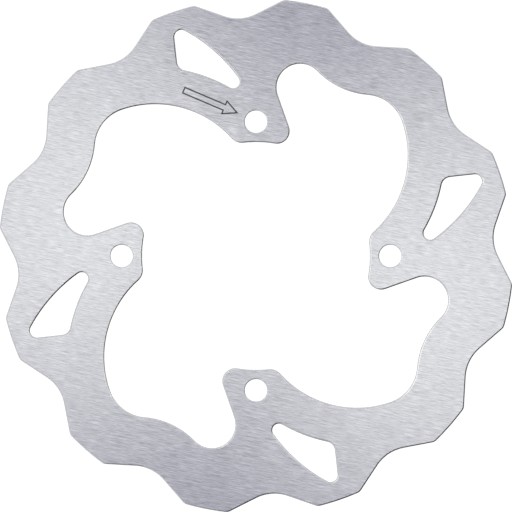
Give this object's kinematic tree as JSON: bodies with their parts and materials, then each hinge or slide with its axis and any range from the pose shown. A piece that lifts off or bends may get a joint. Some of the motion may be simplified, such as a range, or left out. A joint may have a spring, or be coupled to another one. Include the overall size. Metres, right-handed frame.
{
  "type": "motorcycle brake disc",
  "caption": "One-piece flat steel motorcycle brake disc with a waved rim, an open lobed middle, inward mounting tabs with bolt holes and swept lightening windows.",
  "frame": {"origin": "centre of the bolt circle on the hub-side face, which is also the centre of the disc's underside as it lies flat", "axes": "+Z along the wheel axis, from the hub-side face to the outboard face; +X through the first bolt hole; the other bolt holes follow at quarter turns"},
  "size_m": [0.2384, 0.2384, 0.005],
  "materials": {
    "disc_steel": "both faces ground with a fine straight grain, outline and holes laser cut"
  },
  "bodies": {
    "root": {"brake_disc": "disc_steel"}
  },
  "joints": []
}
